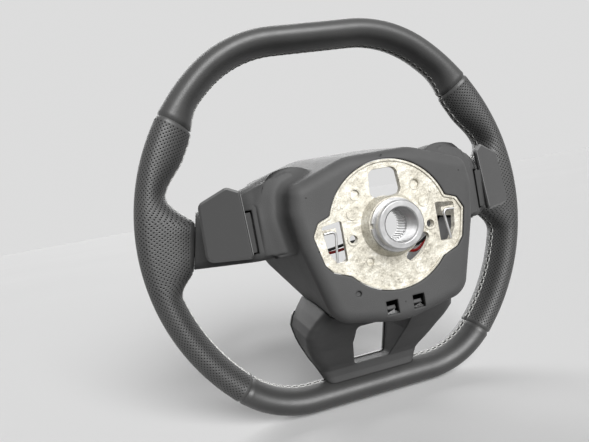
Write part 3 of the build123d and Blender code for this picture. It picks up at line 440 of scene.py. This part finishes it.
def slab(outline, inner, depth):
    """A thin wall between two rows of points, thickened by a depth vector."""
    front = np.vstack([outline, inner])
    vertices = np.vstack([front, front + depth])
    count = len(outline)
    total = 2 * count
    faces = []
    for k in range(count - 1):
        face = (k, k + 1, count + k + 1, count + k)
        faces.append(face)
        faces.append(tuple(a + total for a in face[::-1]))
        faces.append((k, k + total, k + 1 + total, k + 1))
        faces.append((count + k, count + k + 1, count + k + 1 + total, count + k + total))
    for k in (0, count - 1):
        faces.append((k, count + k, count + k + total, k + total))
    return vertices, faces


# The rim's path: samples of (x, z, outward x, outward z, inward reach)

def ease(value, low, high, run_out):
    """1 between low and high, running out softly to 0 on both sides."""
    distance = max(low - value, value - high, 0) / run_out
    return (1 + math.cos(math.pi * min(distance, 1))) / 2


def grip_reach(angle):
    """How far the right-hand grip reaches inwards at an angle in radians."""
    degrees = math.degrees(angle)
    thumb = THUMB_HEIGHT * ease(degrees, THUMB_LOW, THUMB_HIGH, THUMB_SPREAD)
    return HALF_THICK + thumb + ROOT_SWELL * ease(degrees, ROOT_LOW, ROOT_HIGH, ROOT_RAMP)


def plain_reach(angle):
    """The plain rim's reach, the same at every angle."""
    return HALF_THICK


def arc(centre, radius, start, end, reach=plain_reach):
    """Samples along an arc."""
    count = max(2, round(abs(end - start) * radius / LEATHER_STEP))
    samples = []
    for t in np.linspace(start, end, count + 1):
        outward = (math.cos(t), math.sin(t))
        samples.append((centre[0] + radius * outward[0], centre[1] + radius * outward[1], *outward, reach(t)))
    return samples


def straight(a, b, outward):
    """Samples along a straight stretch."""
    count = max(1, round(math.dist(a, b) / LEATHER_STEP))
    return [(a[0] + (b[0] - a[0]) * t, a[1] + (b[1] - a[1]) * t, *outward, HALF_THICK)
            for t in np.linspace(0, 1, count + 1)]


def chain(*stretches):
    """Stretches joined end to end, doubles left out."""
    samples = list(stretches[0])
    for stretch in stretches[1:]:
        samples += stretch[1:]
    return np.array(samples)


def mirrored_line(line):
    """The left-hand copy of a line, run backwards."""
    return (line * np.array([-1, 1, -1, 1, 1]))[::-1]


def top_line():
    """The path from the right-hand grip over the top to the left-hand one."""
    right = chain(
        arc((SIDE_X, SIDE_Z), SIDE_R, UPPER_SEAM, UPPER_TURN, grip_reach),
        arc((UPPER_X, UPPER_Z), UPPER_R, UPPER_TURN, math.pi / 2),
        straight((UPPER_X, RIM_TOP), (0, RIM_TOP), (0, 1)),
    )
    return np.vstack([right, mirrored_line(right)[1:]])


def bottom_line():
    """The path from the right-hand grip along the flat bottom to the left-hand one."""
    right = chain(
        arc((LOWER_X, LOWER_Z), LOWER_R, LOWER_TURN, -math.pi / 2),
        straight((LOWER_X, -RIM_BOTTOM), (0, -RIM_BOTTOM), (0, -1)),
    )
    return np.vstack([right, mirrored_line(right)[1:]])


def beside(line, p, q):
    """Points p outwards and q to the column from each sample of a line."""
    x = line[:, 0] + p * line[:, 2]
    z = line[:, 1] + p * line[:, 3]
    return np.stack([x, np.full(len(line), RIM_Y) + q, z], axis=1)


def lengths(line):
    """The length along a line at each of its samples."""
    steps = np.hypot(np.diff(line[:, 0]), np.diff(line[:, 1]))
    return np.concatenate([[0], np.cumsum(steps)])


# Leather

def hem(distance):
    """How far leather dips where it is folded into a seam, with a soft roll beside it."""
    fold = FOLD_DEPTH * np.exp(-(distance / FOLD_WIDTH) ** 2)
    return ROLL_HEIGHT * np.exp(-((distance - ROLL_AWAY) / ROLL_WIDTH) ** 2) - fold


def wander(x, seed):
    """A gentle waviness, so that hand-sewn leather isn't perfectly even."""
    short = 0.6 * np.sin(x / 7.3 + 2.1 * seed)
    long = 0.4 * np.sin(x / 41.0 + 3.7 * seed)
    return (np.sin(x / 17.0 + seed) + short + long) / 2


def smooth_wrap(name, line, node):
    """A plain stretch of leather with its seam at the inner side and folded ends."""
    turns = np.linspace(-math.pi, math.pi, LEATHER_COLUMNS)
    s = lengths(line)
    ends = np.minimum(s, s[-1] - s)
    rings = []
    for turn in turns:
        seam = (math.pi - abs(turn)) * (HALF_THICK + HALF_DEEP) / 2
        lift = hem(ends) + hem(seam) * INNER_FOLD_SHARE + WAVINESS * wander(s + WAVE_SHIFT * turn, WAVE_SEED)
        reach = line[:, 4] if abs(turn) > math.pi / 2 else np.full(len(s), HALF_THICK)
        length = np.hypot(math.cos(turn) / reach, math.sin(turn) / HALF_DEEP)
        p = reach * math.cos(turn) + lift * math.cos(turn) / reach / length
        q = HALF_DEEP * math.sin(turn) + lift * math.sin(turn) / HALF_DEEP / length
        rings.append(beside(line, p, q))
    points = np.stack(rings, axis=1).reshape(-1, 3)
    obj = piece(name, points, grid_faces(len(line), len(turns)), [smooth_leather])
    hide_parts(node)


def cut_reach(angle):
    """How far in the right-hand grip runs before the spoke root squares it off."""
    if abs(SIDE_R * math.sin(angle)) > ROOT_SPAN:
        return SIDE_R
    root = ROOT_X - ROOT_SLOPE * SIDE_Z - SIDE_X
    return SIDE_R - root / (math.cos(angle) + ROOT_SLOPE * math.sin(angle))


def grip_section(angle):
    """Evenly spaced points round the right-hand grip's section, rear inner edge to front inner edge."""
    reach = grip_reach(angle)
    limit = cut_reach(angle)
    stop = math.pi if reach <= limit else math.pi / 2 + math.asin(limit / reach)
    turns = np.linspace(stop, -stop, SECTION_SAMPLES)
    inner = np.abs(turns) > math.pi / 2
    p = np.where(inner, reach, HALF_THICK) * np.cos(turns)
    q = HALF_DEEP * np.sin(turns)
    along = lengths(np.stack([p, q], axis=1))
    want = np.linspace(0, along[-1], GRIP_COLUMNS)
    return np.interp(want, along, p), np.interp(want, along, q), along[-1]


def grip_grid(sign):
    """A grip's skin as a grid of points with normals, and each point's distance from its ends and edges."""
    rows = round((UPPER_SEAM - LOWER_TURN) * SIDE_R / CELL) + 1
    angles = np.linspace(LOWER_TURN, UPPER_SEAM, rows)
    place = np.zeros((rows, GRIP_COLUMNS, 3))
    width = np.zeros(rows)
    for i, angle in enumerate(angles):
        p, q, width[i] = grip_section(angle)
        x = SIDE_X + (SIDE_R + p) * math.cos(angle)
        z = SIDE_Z + (SIDE_R + p) * math.sin(angle)
        place[i] = np.stack([x, RIM_Y + q, z], axis=1)
    normal = np.cross(np.gradient(place, axis=0), np.gradient(place, axis=1))
    normal /= np.linalg.norm(normal, axis=2, keepdims=True)
    middle = np.stack([SIDE_X + SIDE_R * np.cos(angles), np.full(rows, RIM_Y),
                       SIDE_Z + SIDE_R * np.sin(angles)], axis=1)
    flip = np.sign((normal * (place - middle[:, None, :])).sum(axis=2, keepdims=True))
    normal *= np.where(flip == 0, 1, flip)
    arc_length = (angles - angles[0]) * SIDE_R
    ends = np.minimum(arc_length, arc_length[-1] - arc_length)
    share = np.linspace(0, 1, GRIP_COLUMNS)
    edge = np.minimum(share, 1 - share)[None, :] * width[:, None]
    lift = hem(ends)[:, None] + hem(edge) * INNER_FOLD_SHARE
    mirror = np.array([sign, 1, 1])
    return (place + normal * lift[:, :, None]) * mirror, normal * mirror, ends, edge


def pillow_cell(corners, quad, normal, base):
    """A cell between pits, a little raised in its middle."""
    middle = quad.mean(axis=(0, 1)) + normal * PILLOW_RISE
    faces = [(corners[m], corners[(m + 1) % 4], base) for m in range(4)]
    return middle[None], faces, [0] * len(faces)


def pit_cell(corners, quad, normal, base):
    """A cell with a pit: leather from its corners to a ring, and a cone inside the ring, dark with painted
    shade.
    """
    around = np.linspace(0, 2 * math.pi, PIT_SIDES, endpoint=False)
    u = (0.5 + PIT_SHARE * np.cos(around))[:, None]
    v = (0.5 + PIT_SHARE * np.sin(around))[:, None]
    ring = (1 - u) * ((1 - v) * quad[0, 0] + v * quad[0, 1]) + u * ((1 - v) * quad[1, 0] + v * quad[1, 1])
    tip = quad.mean(axis=(0, 1)) - normal * PIT_DEPTH
    k = [base + m for m in range(PIT_SIDES)]
    # Corner order follows u (rows) and v (columns): ring point m stands at angle 45 m degrees.
    c00, c01, c11, c10 = corners
    faces = []
    for corner, m in ((c11, 1), (c01, 3), (c00, 5), (c10, 7)):
        faces.append((corner, k[m - 1], k[m]))
        faces.append((corner, k[m], k[(m + 1) % PIT_SIDES]))
    for one, two, m in ((c11, c01, 2), (c01, c00, 4), (c00, c10, 6), (c10, c11, 0)):
        faces.append((one, k[m], two))
    indices = [0] * len(faces) + [1] * PIT_SIDES
    faces += [(k[m], k[(m + 1) % PIT_SIDES], base + PIT_SIDES) for m in range(PIT_SIDES)]
    return np.vstack([ring - normal * PIT_LIP, tip]), faces, indices


def flip_out(obj, sign):
    """Turns a grip's faces so that they look outwards."""
    work = bmesh.new()
    work.from_mesh(obj.data)
    bmesh.ops.recalc_face_normals(work, faces=work.faces)
    outer = max(work.faces, key=lambda face: sign * face.calc_center_median().x)
    if outer.normal.x * sign < 0:
        bmesh.ops.reverse_faces(work, faces=work.faces)
    work.to_mesh(obj.data)
    work.free()


def grip_wrap(name, node, sign):
    """A perforated grip: a lattice of small pits punched into the leather."""
    skin, normal, ends, edge = grip_grid(sign)
    rows, columns = edge.shape
    vertices = [skin.reshape(-1, 3)]
    base = rows * columns
    faces, indices = [], []
    for i in range(rows - 1):
        for j in range(columns - 1):
            a = i * columns + j
            corners = (a, a + 1, a + columns + 1, a + columns)
            if min(ends[i], ends[i + 1]) <= PLAIN_END or min(edge[i, j], edge[i, j + 1]) <= PLAIN_EDGE:
                faces.append(corners)
                indices.append(0)
                continue
            cell = pillow_cell if (i + j) % 2 else pit_cell
            added, cell_faces, cell_indices = cell(corners, skin[i:i + 2, j:j + 2], normal[i, j], base)
            vertices.append(added)
            base += len(added)
            faces += cell_faces
            indices += cell_indices
    obj = piece(name, np.vstack(vertices), faces, [grip_leather, pit_and_pocket_shade], indices=indices)
    flip_out(obj, sign)
    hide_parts(node)


# Stitching

def thread_rise(share, row, is_tie, is_upper):
    """How high a thread lies over the leather: bowed along its length, and a tie sunk into the fold."""
    wave = math.sin(math.pi * share)
    rise = THREAD_BOW * wave ** 0.5 - THREAD_SINK - ROW_CURVE * row * row
    if is_upper:
        rise += UPPER_TIE_RISE * wave
    if is_tie:
        rise -= TIE_SINK * math.exp(-(row / TIE_SINK_WIDTH) ** 2)
    return rise


def stitches(name, seam):
    """Double-row stitching along a seam, given as its length and what places a thread on it."""
    total, place = seam
    count = max(1, int(total // STITCH_PITCH))
    offset = (total - count * STITCH_PITCH) / 2
    # Each thread's start and end as (share of the pitch, row), with the upper tie last
    threads = [((0.0, 1), (0.5, 1)), ((0.0, -1), (0.5, -1)), ((0.52, 1), (1.0, -1)), ((0.52, -1), (1.0, 1))]
    tubes = []
    for k in range(count):
        for thread in threads:
            (s0, r0), (s1, r1) = thread
            points = []
            for t in np.linspace(0, 1, 6):
                row = (r0 + (r1 - r0) * t) * ROW_HALF
                point, side, up = place(offset + (k + s0 + (s1 - s0) * t) * STITCH_PITCH)
                points.append(point + side * row + up * thread_rise(t, row, r0 != r1, thread is threads[-1]))
            tubes.append(tube(points, THREAD_RADIUS))
    piece(name, *joined(tubes), [thread_pale])


def seam_on(line):
    """The inner seam along a plain stretch: its length, and its (point, row direction, lift direction)."""
    s = lengths(line)

    def place(at_length):
        x, z, outward_x, outward_z, reach = (np.interp(at_length, s, line[:, k]) for k in range(5))
        inward = -np.array([outward_x, 0, outward_z])
        return np.array([x, RIM_Y, z]) + inward * (reach + SEAM_RISE), np.array([0, 1.0, 0]), inward
    return s[-1], place


def grip_seam(low, high, sign):
    """The inner seam along a grip between two angles, given as by seam_on."""
    angles = np.linspace(low, high, SEAM_SAMPLES)
    reach = np.array([grip_reach(angle) for angle in angles])
    x = SIDE_X + (SIDE_R - reach) * np.cos(angles)
    z = SIDE_Z + (SIDE_R - reach) * np.sin(angles)
    s = lengths(np.stack([x, z], axis=1))
    along_x, along_z = np.gradient(x, s), np.gradient(z, s)
    mirror = np.array([sign, 1, 1])

    def place(at_length):
        px, pz, dx, dz = (np.interp(at_length, s, values) for values in (x, z, along_x, along_z))
        inward = np.array([-dz, 0, dx]) / math.hypot(dx, dz)
        if inward[0] > 0:
            inward = -inward
        point = np.array([px, RIM_Y, pz]) + inward * SEAM_RISE
        return point * mirror, np.array([0, 1.0, 0]), inward * mirror
    return s[-1], place


top = top_line()
bottom = bottom_line()
smooth_wrap("top_leather", top, "leather_top")
smooth_wrap("bottom_leather", bottom, "leather_bottom")
stitches("top_stitching", seam_on(top))

# The lower seam runs from each side up to the lower spoke
half_bottom = bottom[: len(bottom) // 2 + 1]
outer_run = half_bottom[half_bottom[:, 0] > LEG_STOP]
stitches("lower_right_stitching", seam_on(outer_run))
stitches("lower_left_stitching", seam_on(mirrored_line(outer_run)))

# The grips' seams stop at the spoke root, which is open
scan = np.linspace(LOWER_TURN, UPPER_SEAM, ROOT_SAMPLES)
open_root = [angle for angle in scan if grip_reach(angle) > cut_reach(angle)]
for side, sign in SIDES:
    grip_wrap(f"{side}_grip_skin", f"{side}_grip_leather", sign)
    stitches(f"{side}_upper_stitching", grip_seam(open_root[-1] + ROOT_MARGIN, UPPER_SEAM, sign))
    stitches(f"{side}_lower_stitching", grip_seam(LOWER_TURN, open_root[0] - ROOT_MARGIN, sign))


# Small marks on the hub, and the paddles' beads of painted highlight

def hoop(x, y, z, radius, thick):
    """A thin round bead on a face that looks to the column."""
    turns = np.linspace(0, 2 * math.pi, 49)
    path = np.stack([x + radius * np.cos(turns), np.full(len(turns), y), z + radius * np.sin(turns)], axis=1)
    return tube(path, thick, sides=8)


def button(x, y, z, radius, rise):
    """A low dome on a face that looks to the column."""
    sides = 20
    turns = np.linspace(0, 2 * math.pi, sides, endpoint=False)
    vertices = []
    for share, height in ((1.0, -0.05), (0.9, rise * 0.6), (0.55, rise)):
        reach = radius * share
        vertices += [(x + reach * math.cos(t), y + height, z + reach * math.sin(t)) for t in turns]
    top_point = len(vertices)
    vertices.append((x, y + rise * 1.1, z))
    faces = []
    for ring in (0, sides):
        for k in range(sides):
            a, b = ring + k, ring + (k + 1) % sides
            faces.append((a, b, b + sides, a + sides))
    last = 2 * sides
    faces += [(last + k, last + (k + 1) % sides, top_point) for k in range(sides)]
    return vertices, faces


def blade_y(x, z):
    """The rear face of the right-hand paddle's blade."""
    return BLADE_CORNER[1] - BLADE_LEAN * (x - BLADE_CORNER[0]) - BLADE_PITCH * (z - BLADE_CORNER[2])


def edge_highlight_bead(name, sign, body):
    """The thin bead along a paddle's inner edge, bright as a painted highlight."""
    path = []
    for x, z in np.linspace(BEAD_LOW, BEAD_HIGH, 25):
        path.append((sign * (x + BEAD_SHIFT), blade_y(x, z) + BEAD_RISE, z))
    piece(name, *tube(path, BEAD_RADIUS, sides=8), [bead_painted_highlight], body)


plate_rings = joined([hoop(x, PLATE_Y, z, radius, thick) for x, z, radius, thick in CAST_RINGS])
piece("plate_rings", *plate_rings, [alloy])
plate_dots = joined([button(x, PLATE_Y, z, CAST_DOT_RADIUS, CAST_DOT_RISE) for x, z in CAST_DOTS])
piece("plate_dots", *plate_dots, [alloy])
mould_dots = joined([button(x, COVER_Y, z, MOULD_DOT_RADIUS, MOULD_DOT_RISE) for x, z in MOULD_DOTS])
piece("mould_dots", *mould_dots, [housing_grain])
for side, sign in SIDES:
    edge_highlight_bead(f"{side}_paddle_bead", sign, f"{side}_paddle")


# Skins and walls fitted to the back cover

def surface(node):
    """A CAD node's skin for rays, in millimetres of the row frame."""
    obj = nodes[node]
    points = [obj.matrix_world @ vertex.co / MM for vertex in obj.data.vertices]
    return BVHTree.FromPolygons(points, [face.vertices for face in obj.data.polygons])


cover_skin = surface("back_cover")


def spoke_end_shade(name, sign):
    """A dark wall of painted shade that closes a spoke's hollow end beside the grip's root."""
    middle = Vector((ROOT_X - ROOT_SLOPE * END_Z - END_INSET, END_Y, END_Z))
    outline, inner = [], []
    for turn in END_TURNS:
        way = Vector((-ROOT_SLOPE * math.cos(turn), math.sin(turn), math.cos(turn)))
        hit = cover_skin.ray_cast(middle, way.normalized())[0]
        if hit is None:
            continue
        reach = (hit - middle).dot(way) / way.length_squared
        start = ARM_HALF / abs(math.cos(turn)) if math.sin(turn) < 0 else ARM_CLEAR
        if reach > start:
            outline.append(middle + way * (reach + INTO_COVER))
            inner.append(middle + way * start)
    vertices, faces = slab(np.array(outline), np.array(inner), np.array([-END_THICK, 0, 0]))
    mirror = np.array([sign, 1, 1])
    piece(name, vertices * mirror, faces, [housing_grain], smooth=False)


def blurred(field, cells):
    """A field blurred over some cells, blank cells left out."""
    reach = np.arange(-3 * cells, 3 * cells + 1)
    kernel = np.exp(-(reach / cells) ** 2 / 2)
    known = np.isfinite(field)
    layers = [np.where(known, field, 0.0), known.astype(float)]
    for axis in (0, 1):
        layers = [np.apply_along_axis(np.convolve, axis, layer, kernel, "same") for layer in layers]
    return layers[0] / np.maximum(layers[1], 1e-9)


def widened(field, cells):
    """Each cell's highest neighbour within some cells."""
    rows, columns = field.shape
    padded = np.pad(np.where(np.isfinite(field), field, -np.inf), cells, constant_values=-np.inf)
    highest = np.full(field.shape, -np.inf)
    for i in range(-cells, cells + 1):
        for j in range(-cells, cells + 1):
            if math.hypot(i, j) <= cells:
                shifted = padded[cells + i:cells + i + rows, cells + j:cells + j + columns]
                highest = np.maximum(highest, shifted)
    return highest


def border_share(known, cells):
    """0 on the outermost known cells, rising to 1 some cells further in."""
    inside = np.pad(known, 1)
    share = np.zeros(inside.shape)
    for _ in range(cells):
        share += inside / cells
        shrunk = inside.copy()
        for axis in (0, 1):
            shrunk &= np.roll(inside, 1, axis) & np.roll(inside, -1, axis)
        inside = shrunk
    return (share[1:-1, 1:-1] - 1 / cells) * cells / (cells - 1)


def spoke_depth(x, z):
    """The cover's rear y over a grid on the right-hand spoke, blank past its top edge and at the paddle."""
    depth = np.full((len(x), len(z)), np.nan)
    for i, px in enumerate(x):
        top_edge = np.interp(px, SPOKE_TOP_X, SPOKE_TOP_Z) - TOP_MARGIN
        for j, pz in enumerate(z):
            if (px > SLOT_X and pz < SLOT_TOP) or pz > top_edge:
                continue
            hit = cover_skin.ray_cast(Vector((px, BEHIND_COVER, pz)), Vector((0, -1, 0)))[0]
            if hit is not None and hit.y > SPOKE_FLOOR:
                depth[i, j] = hit.y
    return depth


def spoke_blend(name, sign):
    """A soft skin over the rim of the hollow where a spoke runs out of the box."""
    x = np.arange(*BLEND_X, BLEND_STEP)
    z = np.arange(*BLEND_Z, BLEND_STEP)
    depth = spoke_depth(x, z)
    known = np.isfinite(depth)
    low = np.minimum(depth, HOLLOW_TOP)
    hollow = np.where(depth > HOLLOW_FLOOR, low, np.nan)
    filled = np.where(known, np.maximum(low, widened(hollow, BLEND_WIDEN)), np.nan)
    lift = np.maximum(blurred(filled, BLEND_BLUR) - depth, BLEND_FILM)
    border = border_share(known, BLEND_FADE)
    height = depth + lift * border - BLEND_SINK * (1 - border)
    points = np.stack([sign * np.broadcast_to(x[:, None], depth.shape), height,
                       np.broadcast_to(z[None, :], depth.shape)], axis=2)
    keep = known[:-1, :-1] & known[1:, :-1] & known[:-1, 1:] & known[1:, 1:]
    faces = grid_faces(len(x), len(z), keep)
    if sign < 0:
        faces = [face[::-1] for face in faces]
    piece(name, np.nan_to_num(points).reshape(-1, 3), faces, [cover_grain])


def latch_shade_pocket(name, sign):
    """A dark pocket of painted shade behind a latch window, bent over the latch's tongue."""
    edges = [np.array([(sign * LATCH_X + s * POCKET_HALF, y, z) for y, z in POCKET_ROOF]) for s in (-1, 1)]
    walls = [slab(*edges, np.array([0, 0, POCKET_WALL]))]
    for edge, s in zip(edges, (-1, 1)):
        foot = edge + np.array(POCKET_FOOT)
        foot[0] = edge[0] + np.array(POCKET_MOUTH)
        walls.append(slab(edge, foot, np.array([s * POCKET_WALL, 0, 0])))
    piece(name, *joined(walls), [pit_and_pocket_shade], smooth=False)


for side, sign in SIDES:
    spoke_blend(f"{side}_spoke_blend", sign)
    spoke_end_shade(f"{side}_spoke_end_shade", sign)
    latch_shade_pocket(f"{side}_latch_shade_pocket", sign)


# Studio

def seen_rays(tree):
    """A socket that is 1 for what is seen directly, in reflections or through glass."""
    path = tree.nodes.new("ShaderNodeLightPath")
    either = path.outputs["Is Camera Ray"]
    for ray in ("Is Glossy Ray", "Is Transmission Ray"):
        most = tree.nodes.new("ShaderNodeMath")
        most.operation = "MAXIMUM"
        tree.links.new(either, most.inputs[0])
        tree.links.new(path.outputs[ray], most.inputs[1])
        either = most.outputs[0]
    return either


def stage_floor():
    """A wide pale floor that keeps the wheel's shadow and throws little light back up."""
    half = FLOOR_HALF
    corners = [(-half, -half, 0), (half, -half, 0), (half, half, 0), (-half, half, 0)]
    mesh = bpy.data.meshes.new("floor")
    mesh.from_pydata(corners, [], [(0, 1, 2, 3)])
    floor = bpy.data.objects.new("floor", mesh)
    floor.location.z = cad_box[0].z - FLOOR_GAP
    scene.collection.objects.link(floor)
    s = Shader("floor", Specular_IOR_Level=0.05)
    stops = [(0.3, grey(FLOOR_ALBEDO * 0.99)), (0.7, grey(FLOOR_ALBEDO * 1.01))]
    pale = s.ramp(s.noise(0.8, detail=2), stops)
    tone = s.add("ShaderNodeMixRGB", Fac=seen_rays(s.tree), Color1=(*grey(FLOOR_BOUNCE), 1), Color2=pale)
    s.colour(tone.outputs["Color"])
    s.rough(s.span(s.noise(3, detail=2), 0.9, 0.96))
    mesh.materials.append(s.material)


def studio_world():
    """Soft light from all round, seen by the camera and in reflections as the floor's pale tone."""
    world = bpy.data.worlds.new("studio")
    scene.world = world
    world.use_nodes = True
    tree = world.node_tree
    light = tree.nodes["Background"]
    seen = tree.nodes.new("ShaderNodeBackground")
    for background, strength in ((light, AMBIENT), (seen, PALE)):
        background.inputs["Color"].default_value = (1, 1, 1, 1)
        background.inputs["Strength"].default_value = strength
    mix = tree.nodes.new("ShaderNodeMixShader")
    tree.links.new(seen_rays(tree), mix.inputs["Fac"])
    tree.links.new(light.outputs[0], mix.inputs[1])
    tree.links.new(seen.outputs[0], mix.inputs[2])
    tree.links.new(mix.outputs[0], tree.nodes["World Output"].inputs["Surface"])


def softbox(name, towards, strength, spread):
    """A broad far light from a direction, even over the whole floor, its spread in degrees."""
    data = bpy.data.lights.new(name, "SUN")
    data.energy = strength
    data.angle = math.radians(spread)
    obj = bpy.data.objects.new(name, data)
    obj.rotation_mode = "QUATERNION"
    obj.rotation_quaternion = Vector(towards).to_track_quat("Z", "Y")
    scene.collection.objects.link(obj)


def photo_camera():
    """The camera that the photo was taken with, as fitted to it."""
    camera = bpy.data.cameras.new("camera")
    camera.sensor_fit = "HORIZONTAL"
    camera.sensor_width = CAMERA_SENSOR
    camera.lens = CAMERA_LENS
    camera.clip_start = CAMERA_CLIP
    obj = bpy.data.objects.new("camera", camera)
    turn = Matrix((CAMERA_RIGHT, CAMERA_UP, CAMERA_BACK)).transposed().to_4x4()
    obj.matrix_world = Matrix.Translation(CAMERA_PLACE) @ turn
    scene.collection.objects.link(obj)
    scene.camera = obj


stage_floor()
studio_world()
softbox("key", (-0.15, 1.0, 0.55), strength=4.0, spread=40)
softbox("front", (-0.10, -1.0, 0.45), strength=2.2, spread=60)
photo_camera()

bpy.context.view_layer.update()
